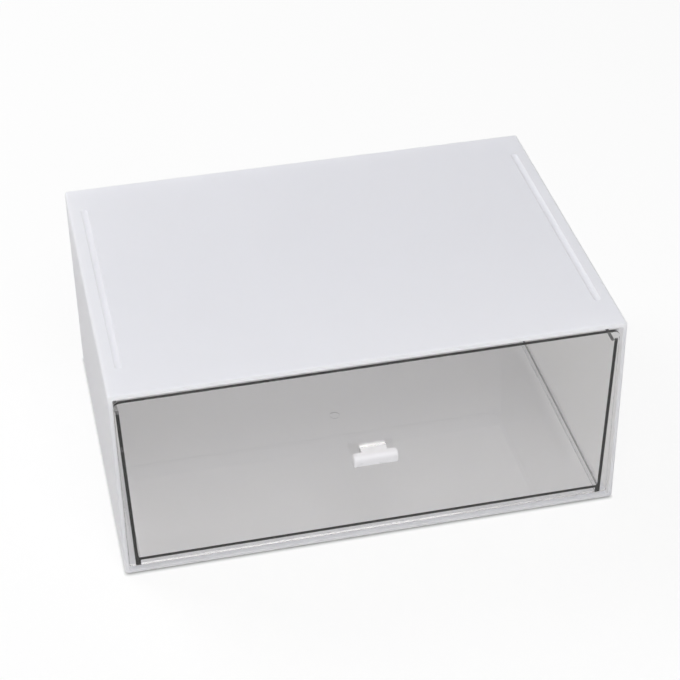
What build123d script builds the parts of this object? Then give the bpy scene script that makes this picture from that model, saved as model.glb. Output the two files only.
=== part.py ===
from build123d import *
import os
from math import radians, tan

# Stackable drawer box: a white moulded housing, open at the front, with a clear
# one-piece drawer and a white push-through pull. Millimetres, X right, Y back, Z up.
# The origin is under the middle of the whole object, pull included.

# ---------------------------------------------------------------- housing
shell_width = 330.0
shell_depth = 242.0
shell_height = 144.5          # floor to top, without the ribs under the floor
side_wall = 2.6
ceiling_wall = 3.2
floor_wall = 2.0
back_wall = 2.6
edge_round = 2.0              # long outer edges and the edges round the back
lip_round = 0.8               # outer edge of the open front
lip_inner_round = 0.4
cavity_corner = 1.5
cavity_taper = 0.8            # sides and ceiling close in this much from front to back

# stacking grooves in the top, and the ribs under the floor that sit in them
groove_inset = 10.5           # middle of a groove from the side
groove_end = 27.0             # end of a groove from the front and from the back
groove_width = 4.8
groove_depth = 1.2
rib_side_gap = 0.4
rib_end_gap = 2.0
rib_height = 1.0
rib_round = 0.6

# ---------------------------------------------------------------- drawer
front_recess = 2.8            # front panel behind the lip of the housing
panel_thick = 2.5
panel_side_gap = 0.7
panel_top_gap = 4.9
panel_bottom_gap = 1.2
panel_top_corner = 4.0
panel_low_corner = 1.0
panel_edge_round = 0.4

tub_wall = 2.2
tub_floor = 2.2
tub_draft = 1.6               # degrees, so that the mould opens upward
tub_side_gap = 0.8            # rim to housing side, at the narrow back end
tub_back_gap = 0.5            # rim to housing back, drawer closed
rim_drop = 11.5               # rim of the side and back walls below the panel's top
rim_sweep = 6.5               # radius of the curve from the rim up the back of the panel
inner_back_corner = 8.0
inner_floor_round = 1.2

skid_height = 4.3             # below the tub's floor
skid_width = 3.4
skid_gap = 0.1                # running clearance above the housing floor
skid_round = 0.8
skid_end = 12.0               # end of a skid in front of the tub's back

gate_diameter = 7.0
gate_depth = 0.3

# ---------------------------------------------------------------- pull
pull_rise = 69.8              # top of the pull above the lower edge of the panel
bar_width = 29.6
bar_depth = 5.5
bar_height = 8.6
neck_width = 17.0
neck_length = 4.6             # panel to bar
bar_top_round = 3.8           # the front of the bar rolls over under the fingertips
bar_low_round = 2.8
bar_end_round = 1.5
neck_edge_round = 0.4
tongue_height = 4.4
tongue_side_gap = 0.1
tail_length = 2.5             # behind the panel
barb_height = 1.0
barb_gap = 0.1
slit_height = 1.0

# ---------------------------------------------------------------- shared places
shell_bottom = rib_height
shell_top = shell_bottom + shell_height
shell_front = -shell_depth / 2
shell_back = shell_depth / 2

cavity_floor = shell_bottom + floor_wall
cavity_ceiling = shell_top - ceiling_wall
cavity_back = shell_back - back_wall
cavity_half = shell_width / 2 - side_wall

panel_front = shell_front + front_recess
panel_back = panel_front + panel_thick
panel_half = cavity_half - panel_side_gap
panel_bottom = cavity_floor + panel_bottom_gap
panel_top = cavity_ceiling - panel_top_gap

tub_under = cavity_floor + skid_gap + skid_height
tub_inside = tub_under + tub_floor
tub_rim = panel_top - rim_drop
rim_half = cavity_half - cavity_taper - tub_side_gap
rim_back = cavity_back - tub_back_gap

pull_top = panel_bottom + pull_rise
tongue_bottom = pull_top - tongue_height
bar_back = panel_front - neck_length
bar_front = bar_back - bar_depth
tail_end = panel_back + tail_length

overlap = 0.5                 # how far joined bodies run into each other
overshoot = 5.0               # how far a cutting tool runs past what it cuts
middle_y = (bar_front + shell_back) / 2


def block(low, high):
    """A box between two opposite corners."""
    size = [b - a for a, b in zip(low, high)]
    return Pos(*low) * Box(*size, align=(Align.MIN, Align.MIN, Align.MIN))


def upright_sketch(x, outline):
    """A closed outline of (y, z) points on the plane at x, facing +X."""
    return Plane.YZ.offset(x) * make_face(Polyline(*outline, close=True))


# ---------------------------------------------------------------- housing
def cavity_section(y, closing):
    """Rounded rectangle of the cavity at y; sides and ceiling close in, the floor stays level."""
    half = cavity_half - closing
    top = cavity_ceiling - closing
    place = Plane(origin=(0, y, (cavity_floor + top) / 2), x_dir=(1, 0, 0), z_dir=(0, -1, 0))
    return place * RectangleRounded(2 * half, top - cavity_floor, cavity_corner)


def cavity():
    """The drafted space for the drawer, run a little out of the front."""
    out = cavity_taper * overshoot / (cavity_back - shell_front)
    sections = [cavity_section(shell_front - overshoot, -out), cavity_section(cavity_back, cavity_taper)]
    return loft(sections, ruled=True)


def stacking_groove(x):
    """A shallow round-bottomed trough with round ends: a capsule sunk into the top."""
    radius = (groove_width ** 2 / 4 + groove_depth ** 2) / (2 * groove_depth)
    reach = shell_depth / 2 - groove_end - groove_width / 2
    centre_z = shell_top - groove_depth + radius
    lane = Pos(x, 0, centre_z)
    rod = lane * Rot(90, 0, 0) * Cylinder(radius, 2 * reach)
    ends = [lane * Pos(0, side * reach, 0) * Sphere(radius) for side in (-1, 1)]
    return rod + ends


def stacking_rib(x):
    """A flat-bottomed rib that drops into the groove of the box below."""
    width = groove_width - 2 * rib_side_gap
    length = shell_depth - 2 * (groove_end + rib_end_gap)
    outline = Pos(x, 0, 0) * Rot(0, 0, 90) * SlotOverall(length, width)
    rib = extrude(outline, rib_height + overlap)
    return fillet(rib.faces().sort_by(Axis.Z)[0].edges(), rib_round)


def make_shell():
    body = block((-shell_width / 2, shell_front, shell_bottom), (shell_width / 2, shell_back, shell_top))
    body = fillet(body.edges().filter_by(Axis.Y), edge_round)
    body = fillet(body.faces().sort_by(Axis.Y)[-1].edges(), edge_round)
    body = fillet(body.faces().sort_by(Axis.Y)[0].edges(), lip_round)
    body = body - cavity()
    lip = body.faces().sort_by(Axis.Y)[0]
    body = fillet(lip.inner_wires()[0].edges(), lip_inner_round)
    groove_x = shell_width / 2 - groove_inset
    for x in (-groove_x, groove_x):
        body = body - stacking_groove(x)
        body = body + stacking_rib(x)
    return body


# ---------------------------------------------------------------- drawer
def lean(z):
    """How far the drafted walls stand in at height z, compared with the rim."""
    return (tub_rim - z) * tan(radians(tub_draft))


def drafted_block(top, bottom, front, inset, corner):
    """Tub-shaped block between two heights: drafted sides and back, square and upright front."""
    half = rim_half - lean(top) - inset
    back = rim_back - lean(top) - inset
    ahead = front - 2 * overshoot
    outline = Pos(0, (ahead + back) / 2) * Rectangle(2 * half, back - ahead)
    outline = fillet(outline.vertices().group_by(Axis.Y)[-1], corner)
    tapered = extrude(Pos(0, 0, top) * outline, top - bottom, dir=(0, 0, -1), taper=tub_draft)
    low = (-shell_width, ahead - overshoot, bottom - overshoot)
    high = (shell_width, front, top + overshoot)
    return tapered - block(low, high)


def tub_outside():
    return drafted_block(panel_top, tub_under, panel_back - overlap, 0, inner_back_corner + tub_wall)


def tub_hollow():
    """The space inside the tub; its floor runs up into the sides and the back in a curve."""
    hollow = drafted_block(panel_top + overshoot, tub_inside, panel_back, tub_wall, inner_back_corner)
    floor_edges = hollow.faces().sort_by(Axis.Z)[0].edges().sort_by(Axis.Y)
    return fillet(floor_edges[1:], inner_floor_round)


def rim_cutter():
    """Takes the walls down to the rim and leaves a curve that rises up the back of the panel."""
    far = rim_back + overshoot
    high = panel_top + overshoot
    start = (panel_back, tub_rim + rim_sweep)
    end = (panel_back + rim_sweep, tub_rim)
    sweep_middle = (end[0], start[1])
    curve = CenterArc(sweep_middle, rim_sweep, 180, 90)
    outline = Polyline(end, (far, tub_rim), (far, high), (panel_back, high), start)
    profile = Plane.YZ.offset(-panel_half) * make_face([curve, outline])
    return extrude(profile, 2 * panel_half)


def skid(side):
    """The side wall carried on below the floor, wider, as a runner."""
    outer = rim_half - lean(tub_under)
    low = (outer - skid_width, panel_back - overlap, cavity_floor + skid_gap)
    high = (outer, rim_back - lean(tub_under) - skid_end, tub_under + overlap)
    rail = block(low, high)
    bottom = rail.faces().sort_by(Axis.Z)[0]
    rail = fillet(bottom.edges().filter_by(Axis.Y), skid_round)
    return rail if side > 0 else mirror(rail, Plane.YZ)


def front_panel():
    outline = Rectangle(2 * panel_half, panel_top - panel_bottom)
    outline = fillet(outline.vertices().group_by(Axis.Y)[-1], panel_top_corner)
    outline = fillet(outline.vertices().group_by(Axis.Y)[0], panel_low_corner)
    place = Plane(origin=(0, panel_front, (panel_top + panel_bottom) / 2), x_dir=(1, 0, 0), z_dir=(0, -1, 0))
    panel = extrude(place * outline, -panel_thick)
    return fillet(panel.faces().sort_by(Axis.Y)[0].edges(), panel_edge_round)


def pull_slot():
    half = neck_width / 2 + tongue_side_gap
    low = (-half, panel_front - overshoot, tongue_bottom - tongue_side_gap)
    high = (half, panel_back + overlap, pull_top + tongue_side_gap)
    return block(low, high)


def make_drawer():
    body = tub_outside() - rim_cutter() - tub_hollow()
    body = body + front_panel() + skid(-1) + skid(1)
    gate_y = (panel_front + rim_back) / 2
    gate = Pos(0, gate_y, tub_under) * Cylinder(gate_diameter / 2, 2 * gate_depth)
    return body - gate - pull_slot()


# ---------------------------------------------------------------- pull
def bar_section():
    """Side view of the bar: flat at the back, rolled over at the front."""
    middle = ((bar_front + bar_back) / 2, pull_top - bar_height / 2)
    outline = Pos(*middle) * Rectangle(bar_depth, bar_height)
    top_front = outline.vertices().group_by(Axis.X)[0].sort_by(Axis.Y)[-1]
    outline = fillet(top_front, bar_top_round)
    low_front = outline.vertices().group_by(Axis.Y)[0].sort_by(Axis.X)[0]
    return fillet(low_front, bar_low_round)


def pull_grip():
    """A bar with a rolled front, and a plain neck from the bar back to the panel."""
    bar = extrude(Plane.YZ.offset(-bar_width / 2) * bar_section(), bar_width)
    bar = fillet(bar.faces().filter_by(Axis.X).edges(), bar_end_round)
    low = (-neck_width / 2, bar_back - overlap, pull_top - bar_height)
    high = (neck_width / 2, panel_front, pull_top)
    neck = block(low, high)
    neck = fillet(neck.edges().filter_by(Axis.Y), neck_edge_round)
    return bar + neck


def pull_tongue():
    """Side view of the tongue through the slot, with its barb under the tail."""
    catch = panel_back + barb_gap
    barb_low = tongue_bottom - barb_height
    outline = [
        (panel_front - overlap, tongue_bottom),
        (catch, tongue_bottom),
        (catch, barb_low),
        (tail_end, tongue_bottom),
        (tail_end, pull_top),
        (panel_front - overlap, pull_top),
    ]
    tongue = extrude(upright_sketch(-neck_width / 2, outline), neck_width)
    slit_low = (tongue_bottom + pull_top - slit_height) / 2
    slit = block(
        (-neck_width, panel_front, slit_low),
        (neck_width, tail_end + overshoot, slit_low + slit_height),
    )
    return tongue - slit


def make_pull():
    return pull_grip() + pull_tongue()


# ---------------------------------------------------------------- output
def save(name, solid):
    placed = Pos(0, -middle_y, 0) * solid
    piece = placed.solid()
    print(f"{name}: {piece.volume / 1000:.1f} cm3, valid {piece.is_valid}")
    export_step(piece, f"parts/{name}.step")


def main():
    os.makedirs("parts", exist_ok=True)
    save("shell", make_shell())
    save("drawer", make_drawer())
    save("pull_handle", make_pull())
    print(f"housing front at y {shell_front - middle_y:.2f}, top at z {shell_top:.2f}")
    print(f"pull front at y {bar_front - middle_y:.2f}, top of the pull at z {pull_top:.2f}")


main()
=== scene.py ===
# %% [markdown]
# # Stackable drawer box
# A white moulded housing, a clear drawer that slides in it, and a small white pull in the drawer's
# front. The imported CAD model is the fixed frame. Its three solids already have their real sizes and
# places, with the stacking grooves, the drafted walls and the rolled edges in their meshes, so nothing
# is modelled a second time here. This lesson gives each piece the plastic it is moulded from, sets it
# on white paper, lights it, and puts the camera where the photographer stood.

# %% Load the frame and measure it
import math

import bmesh
import bpy
from mathutils import Matrix, Vector


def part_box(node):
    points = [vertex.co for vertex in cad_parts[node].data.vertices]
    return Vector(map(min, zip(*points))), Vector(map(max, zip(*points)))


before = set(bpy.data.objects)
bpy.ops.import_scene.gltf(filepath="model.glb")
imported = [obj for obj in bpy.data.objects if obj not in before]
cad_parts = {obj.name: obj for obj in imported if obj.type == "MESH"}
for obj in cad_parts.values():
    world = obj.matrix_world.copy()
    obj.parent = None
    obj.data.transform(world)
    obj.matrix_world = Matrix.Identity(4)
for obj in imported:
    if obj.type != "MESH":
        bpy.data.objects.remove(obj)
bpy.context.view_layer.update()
MM = 0.001

for node in ("shell", "drawer", "pull_handle"):
    low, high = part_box(node)
    print(node, "mm:", [round((b - a) / MM, 1) for a, b in zip(low, high)])

# %% [markdown]
# ## Camera
# A photograph can be matched by eye, or its camera can be solved from edges that are known to be
# straight and square. The housing shows nine of those, so the camera is solved: it stands about 1.3 m
# away, a little to the left, well above the box, and has a long lens, which is why the sides run
# almost parallel. The places are in metres in the frame of the model. The roll is a camera held just
# under a degree off level.

# %% The photographer's camera
LENS_MM = 102.08
SENSOR_MM = 36.0
CAMERA_PLACE = Vector((-0.22046, -1.04295, 0.85804))
CAMERA_TARGET = Vector((0.00487, 0.00297, 0.07347))
CAMERA_ROLL = math.radians(-0.853)


def look_at(place, target):
    """A matrix at place, with its own -Z towards target, as cameras and lamps need it."""
    turn = (Vector(target) - Vector(place)).to_track_quat("-Z", "Y")
    return Matrix.Translation(place) @ turn.to_matrix().to_4x4()


camera_data = bpy.data.cameras.new("photo_camera")
camera_data.sensor_fit = "HORIZONTAL"
camera_data.sensor_width = SENSOR_MM
camera_data.lens = LENS_MM
camera = bpy.data.objects.new("photo_camera", camera_data)
bpy.context.scene.collection.objects.link(camera)
camera.matrix_world = look_at(CAMERA_PLACE, CAMERA_TARGET) @ Matrix.Rotation(CAMERA_ROLL, 4, "Z")
bpy.context.scene.camera = camera
print("camera distance", round((CAMERA_TARGET - CAMERA_PLACE).length, 3), "m")

# %% [markdown]
# ## Helpers for materials
# A shader computes with linear light, but colours are easier to choose as sRGB hex, the way a paint
# chart gives them, so one function turns hex to linear. A second one adds a node with its settings,
# its plain values and its links. With it, each material below reads as a list of what feeds what.
# A third turns a real size in millimetres into the scale of a texture, because every pattern here is
# laid out in the metres of Object coordinates.

# %% Colour, node and scale helpers
def linear(hex_colour):
    """sRGB hex, such as "#EEEDF3", to a linear RGBA tuple."""
    parts = [int(hex_colour[i : i + 2], 16) / 255 for i in (1, 3, 5)]
    return tuple(c / 12.92 if c <= 0.04045 else ((c + 0.055) / 1.055) ** 2.4 for c in parts) + (1.0,)


def add(tree, kind, settings=None, values=None, links=None):
    """Adds a node. Keys of values and links are names or numbers of its inputs."""
    node = tree.nodes.new(kind)
    for name, value in (settings or {}).items():
        setattr(node, name, value)
    for name, value in (values or {}).items():
        node.inputs[name].default_value = value
    for name, source in (links or {}).items():
        tree.links.new(source, node.inputs[name])
    return node


def per_size(millimetres):
    """The texture scale that gives a pattern features of this size."""
    return 1.0 / (millimetres * MM)


def new_tree(block):
    """Turns on a block's nodes and empties them."""
    block.use_nodes = True
    block.node_tree.nodes.clear()
    return block.node_tree


print("a grain of 1 mm needs a scale of", round(per_size(1.0)))

# %% [markdown]
# ## A moulded surface
# A white moulding looks like plastic, and not like paint or paper, through three things that are
# easily missed. The steel tool was spark-eroded, which leaves a fine grain that breaks up highlights.
# The melt cooled at different speeds, so the sheen drifts slowly over a hand's width. And the pigment
# never mixes perfectly, so the white drifts a very little too. An image could carry this, but noise on
# Object coordinates has no seams, costs nothing and stays put when the drawer moves.
#
# The white pieces share the recipe and differ in their numbers, so one function adds it. Noise keeps
# near the middle of its range, so the sheen is stretched over that part of it.

# %% Grain, sheen and colour of a moulded surface
NOISE_LOW = 0.3
NOISE_HIGH = 0.7
# The mixer for colours keeps its two colours on inputs 6 and 7, and its result on output 2.
FIRST_COLOUR = 6
SECOND_COLOUR = 7
MIXED_COLOUR = 2


def moulded_surface(tree, grain_mm, grain_depth_mm, drift_mm, roughness, colours):
    """Adds the three patterns; returns the sockets for colour, roughness and normal."""
    place = add(tree, "ShaderNodeTexCoord").outputs["Object"]
    grain = add(
        tree,
        "ShaderNodeTexNoise",
        values={"Scale": per_size(grain_mm), "Detail": 2.0, "Roughness": 0.55},
        links={"Vector": place},
    )
    drift = add(
        tree,
        "ShaderNodeTexNoise",
        values={"Scale": per_size(drift_mm), "Detail": 3.0, "Roughness": 0.5, "Distortion": 0.6},
        links={"Vector": place},
    )
    sheen = add(
        tree,
        "ShaderNodeMapRange",
        values={
            "From Min": NOISE_LOW,
            "From Max": NOISE_HIGH,
            "To Min": roughness[0],
            "To Max": roughness[1],
        },
        links={"Value": drift.outputs["Fac"]},
    )
    pigment = add(
        tree,
        "ShaderNodeMix",
        settings={"data_type": "RGBA"},
        values={FIRST_COLOUR: linear(colours[0]), SECOND_COLOUR: linear(colours[1])},
        links={0: drift.outputs["Fac"]},
    )
    relief = add(
        tree,
        "ShaderNodeBump",
        values={"Strength": 1.0, "Distance": grain_depth_mm * MM},
        links={"Height": grain.outputs["Fac"]},
    )
    return pigment.outputs[MIXED_COLOUR], sheen.outputs["Result"], relief.outputs["Normal"]


# %% [markdown]
# ## The housing: polypropylene
# Boxes of this kind are commonly moulded in white polypropylene, here 2.6 mm thick at the sides. The
# eye knows it by two things: a waxy satin sheen, with no sharp mirror image in it, and a soft glow,
# because so thin a wall lets part of the light through. The glow helps to make the inside of the box a
# light grey. Subsurface scattering with a radius of about a millimetre was tried first, and hardly
# changed the inside. So a translucent shader is mixed in: light that falls on the outside comes out
# inside. Its share is set to suit the tones inside the box. It isn't a measured value, and may well be
# higher than that of a real wall.
#
# The grain of such a moulding is too fine to see from here. It is drawn at 0.7 mm, which is about one
# pixel, or it would be lost.

# %% Satin white polypropylene
THIN_WALL_SHARE = 0.53


def satin_white_polypropylene():
    material = bpy.data.materials.new("satin_moulded_white_polypropylene")
    tree = new_tree(material)
    colour, roughness, normal = moulded_surface(
        tree,
        grain_mm=0.7,
        grain_depth_mm=0.03,
        drift_mm=70.0,
        roughness=(0.38, 0.46),
        colours=("#ECEEF8", "#EEF0FA"),
    )
    surface = add(
        tree,
        "ShaderNodeBsdfPrincipled",
        values={"IOR": 1.49},
        links={"Base Color": colour, "Roughness": roughness, "Normal": normal},
    )
    glow = add(
        tree,
        "ShaderNodeBsdfTranslucent",
        values={"Color": linear("#F5F4F0")},
        links={"Normal": normal},
    )
    thin_wall = add(
        tree,
        "ShaderNodeMixShader",
        values={0: THIN_WALL_SHARE},
        links={1: surface.outputs["BSDF"], 2: glow.outputs["BSDF"]},
    )
    add(tree, "ShaderNodeOutputMaterial", links={"Surface": thin_wall.outputs["Shader"]})
    return material


def dress(node, material):
    """Gives a CAD node its material in every slot."""
    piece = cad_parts[node]
    if not piece.material_slots:
        piece.data.materials.append(material)
    for slot in piece.material_slots:
        slot.material = material
    print(node, "is now", material.name)


dress("shell", satin_white_polypropylene())

# %% [markdown]
# ## The pull: semi-gloss white
# The pull is a separate small moulding, pressed into a slot in the drawer's front. It is a harder
# plastic than the housing and its tool was polished further, so it is the brighter, glossier white of
# the two. The same recipe serves, with a finer and shallower grain and a lower roughness.

# %% Semi-gloss white ABS
def semi_gloss_white_abs():
    material = bpy.data.materials.new("semi_gloss_moulded_white_abs")
    tree = new_tree(material)
    colour, roughness, normal = moulded_surface(
        tree,
        grain_mm=0.4,
        grain_depth_mm=0.008,
        drift_mm=9.0,
        roughness=(0.26, 0.34),
        colours=("#F0EFF3", "#F3F2F5"),
    )
    surface = add(
        tree,
        "ShaderNodeBsdfPrincipled",
        values={"IOR": 1.54},
        links={"Base Color": colour, "Roughness": roughness, "Normal": normal},
    )
    add(tree, "ShaderNodeOutputMaterial", links={"Surface": surface.outputs["BSDF"]})
    return material


dress("pull_handle", semi_gloss_white_abs())

# %% [markdown]
# ## The drawer: clear polystyrene
# The drawer is clear and polished. Its faces all but vanish, and it is drawn by its edges: wherever
# a wall is seen end on, it shows as a thin black line. Nothing paints those lines. They come from the
# refraction of a real 2.5 mm wall at an index of 1.58, and from a very light smoke tint, which is
# next to nothing through a wall and a lot along one. So the tint is an absorbing volume, and not a
# colour on the surface.
#
# Path-traced glass casts a far too dark shadow, because light can't be aimed through it. So for light
# on its way to a lamp, and for light that a matt wall sends on, the plastic is plain transparent.
#
# A tool is polished by hand and the plastic shrinks as it cools, so the face of such a panel is never
# dead flat. Waves 35 mm long and 0.05 mm deep bend what is seen through it by a hair.

# %% Polished clear polystyrene
WAVE_LENGTH_MM = 35.0
WAVE_DEPTH_MM = 0.05
SMOKE_PER_METRE = 12.0


def clear_polystyrene():
    material = bpy.data.materials.new("polished_clear_polystyrene")
    tree = new_tree(material)
    place = add(tree, "ShaderNodeTexCoord").outputs["Object"]
    waves = add(
        tree,
        "ShaderNodeTexNoise",
        values={"Scale": per_size(WAVE_LENGTH_MM), "Detail": 1.0},
        links={"Vector": place},
    )
    ripple = add(
        tree,
        "ShaderNodeBump",
        values={"Strength": 1.0, "Distance": WAVE_DEPTH_MM * MM},
        links={"Height": waves.outputs["Fac"]},
    )
    clear = add(
        tree,
        "ShaderNodeBsdfPrincipled",
        values={
            "Base Color": (1.0, 1.0, 1.0, 1.0),
            "Roughness": 0.02,
            "IOR": 1.58,
            "Transmission Weight": 1.0,
        },
        links={"Normal": ripple.outputs["Normal"]},
    )
    light_passes = add(tree, "ShaderNodeBsdfTransparent", values={"Color": linear("#FFFEFC")})
    path = add(tree, "ShaderNodeLightPath")
    unseen = add(
        tree,
        "ShaderNodeMath",
        settings={"operation": "MAXIMUM"},
        links={0: path.outputs["Is Shadow Ray"], 1: path.outputs["Is Diffuse Ray"]},
    )
    surface = add(
        tree,
        "ShaderNodeMixShader",
        links={0: unseen.outputs["Value"], 1: clear.outputs["BSDF"], 2: light_passes.outputs["BSDF"]},
    )
    smoke = add(
        tree,
        "ShaderNodeVolumeAbsorption",
        values={"Color": linear("#6E6E6E"), "Density": SMOKE_PER_METRE},
    )
    add(
        tree,
        "ShaderNodeOutputMaterial",
        links={"Surface": surface.outputs["Shader"], "Volume": smoke.outputs["Volume"]},
    )
    return material


dress("drawer", clear_polystyrene())

# %% [markdown]
# ## White paper under the box
# The box stands on seamless white paper that the camera sees as white, with only a breath of shadow.
# More light would do that too, but it would burn out the white housing. So the paper is an ordinary
# matt white for the light that falls on it, and what the camera, a reflection or the clear drawer
# sees of it is mostly a plain white of strength 1. The rest is the lit paper, which keeps the shadow.
# The housing's walls pass light too, so they see that white as well, and the inside gains by it.
#
# The ribs hold the box 1 mm off the paper. Light hardly reaches into so low a gap, and that draws the
# thin dark line under its lower edge. A plain white would hide the line, so the seen white is darkened
# by ambient occlusion over a few millimetres: a painted shade that brings the line back.

# %% Paper floor
SEEN_WHITE = 0.88
GAP_REACH_MM = 2.5
PAPER_TOOTH_MM = 1.2
TOOTH_DEPTH_MM = 0.05
FLOOR_HALF = 6.0


def seen_rays(tree):
    """1 for light that the camera sees directly, mirrored or through the plastics, and else 0."""
    path = add(tree, "ShaderNodeLightPath")
    seen = path.outputs["Is Camera Ray"]
    for kind in ("Is Glossy Ray", "Is Transmission Ray"):
        either = {0: seen, 1: path.outputs[kind]}
        seen = add(tree, "ShaderNodeMath", settings={"operation": "MAXIMUM"}, links=either).outputs[0]
    return seen


def seamless_white_paper():
    material = bpy.data.materials.new("seamless_matt_white_paper")
    tree = new_tree(material)
    place = add(tree, "ShaderNodeTexCoord").outputs["Object"]
    tooth = add(
        tree,
        "ShaderNodeTexNoise",
        values={"Scale": per_size(PAPER_TOOTH_MM)},
        links={"Vector": place},
    )
    relief = add(
        tree,
        "ShaderNodeBump",
        values={"Strength": 0.3, "Distance": TOOTH_DEPTH_MM * MM},
        links={"Height": tooth.outputs["Fac"]},
    )
    paper = add(
        tree,
        "ShaderNodeBsdfDiffuse",
        values={"Color": linear("#F2F2F2")},
        links={"Normal": relief.outputs["Normal"]},
    )
    # Painted shade: ambient occlusion darkens the seen white near the box and draws the dark line
    # under it.
    painted_gap_shade = add(tree, "ShaderNodeAmbientOcclusion", values={"Distance": GAP_REACH_MM * MM})
    white = add(
        tree,
        "ShaderNodeEmission",
        values={"Strength": 1.0},
        links={"Color": painted_gap_shade.outputs["Color"]},
    )
    share = add(
        tree,
        "ShaderNodeMath",
        settings={"operation": "MULTIPLY"},
        values={1: SEEN_WHITE},
        links={0: seen_rays(tree)},
    )
    mix = add(
        tree,
        "ShaderNodeMixShader",
        links={0: share.outputs["Value"], 1: paper.outputs["BSDF"], 2: white.outputs["Emission"]},
    )
    add(tree, "ShaderNodeOutputMaterial", links={"Surface": mix.outputs["Shader"]})
    return material


mesh = bpy.data.meshes.new("paper_floor")
builder = bmesh.new()
bmesh.ops.create_grid(builder, x_segments=1, y_segments=1, size=FLOOR_HALF)
builder.to_mesh(mesh)
builder.free()
mesh.materials.append(seamless_white_paper())
floor = bpy.data.objects.new("paper_floor", mesh)
bpy.context.scene.collection.objects.link(floor)
print("floor", round(2 * FLOOR_HALF), "m across")

# %% [markdown]
# ## The room
# A product photographer works in a white room, so the world is white wherever it is seen. To the
# light that falls on the box it is only a dim fill, which leaves the shading to the lamps below.
# "Standard" is the view that shows a colour as it is written. The default view would grey the whites.

# %% World and view
bpy.context.scene.view_settings.view_transform = "Standard"
FILL = 0.1

world = bpy.data.worlds.new("white_room")
bpy.context.scene.world = world
tree = new_tree(world)
fill = add(tree, "ShaderNodeBackground", values={"Color": (1.0, 1.0, 1.0, 1.0), "Strength": FILL})
white = add(tree, "ShaderNodeBackground", values={"Color": (1.0, 1.0, 1.0, 1.0), "Strength": 1.0})
room = add(
    tree,
    "ShaderNodeMixShader",
    links={0: seen_rays(tree), 1: fill.outputs["Background"], 2: white.outputs["Background"]},
)
add(tree, "ShaderNodeOutputWorld", links={"Surface": room.outputs["Shader"]})
print("fill light", FILL)

# %% [markdown]
# ## Lamps
# The photograph has no hard shadow and no bright spot anywhere, so every lamp is a softbox a metre
# across. The left side of the box is as bright as its top, the inside gets lighter towards the floor,
# and the right wall is the darkest. That takes one lamp in front, to reach through the clear drawer, a
# steeper one above it for the top and the pull, one behind on the left, and a weak one overhead. Small
# renders with one lamp each gave a first fit of the powers, which were then adjusted.

# %% Softboxes
SOFTBOX_SIDE = 1.0
LIT_POINT = (0.0, 0.0, 0.07)


def softbox(name, place, watts):
    """A square area lamp turned to the box."""
    lamp = bpy.data.lights.new(name, "AREA")
    lamp.shape = "SQUARE"
    lamp.size = SOFTBOX_SIDE
    lamp.energy = watts
    stand = bpy.data.objects.new(name, lamp)
    bpy.context.scene.collection.objects.link(stand)
    stand.matrix_world = look_at(place, LIT_POINT)
    print(name, watts, "W")


softbox("softbox_front", (0.0, -1.64, 1.22), 9.5)
softbox("softbox_high_front", (0.0, -1.0, 1.8), 14.0)
softbox("softbox_back_left", (-1.0, 1.0, 1.5), 23.5)
softbox("softbox_overhead", (0.0, 0.0, 2.07), 3.0)

# %% [markdown]
# ## Enough bounces for clear plastic
# A ray that looks into the box passes the panel, the drawer's floor and often a wall, and each has
# two surfaces. Light that then leaves the white wall crosses them again. A limit that cuts such a path
# off can only take light away from the inside, so the limits are set well above the usual ones.

# %% Bounce limits
BOUNCES = {
    "max_bounces": 32,
    "diffuse_bounces": 12,
    "glossy_bounces": 8,
    "transmission_bounces": 24,
    "transparent_max_bounces": 64,
}
for name, limit in BOUNCES.items():
    setattr(bpy.context.scene.cycles, name, limit)
print(BOUNCES)
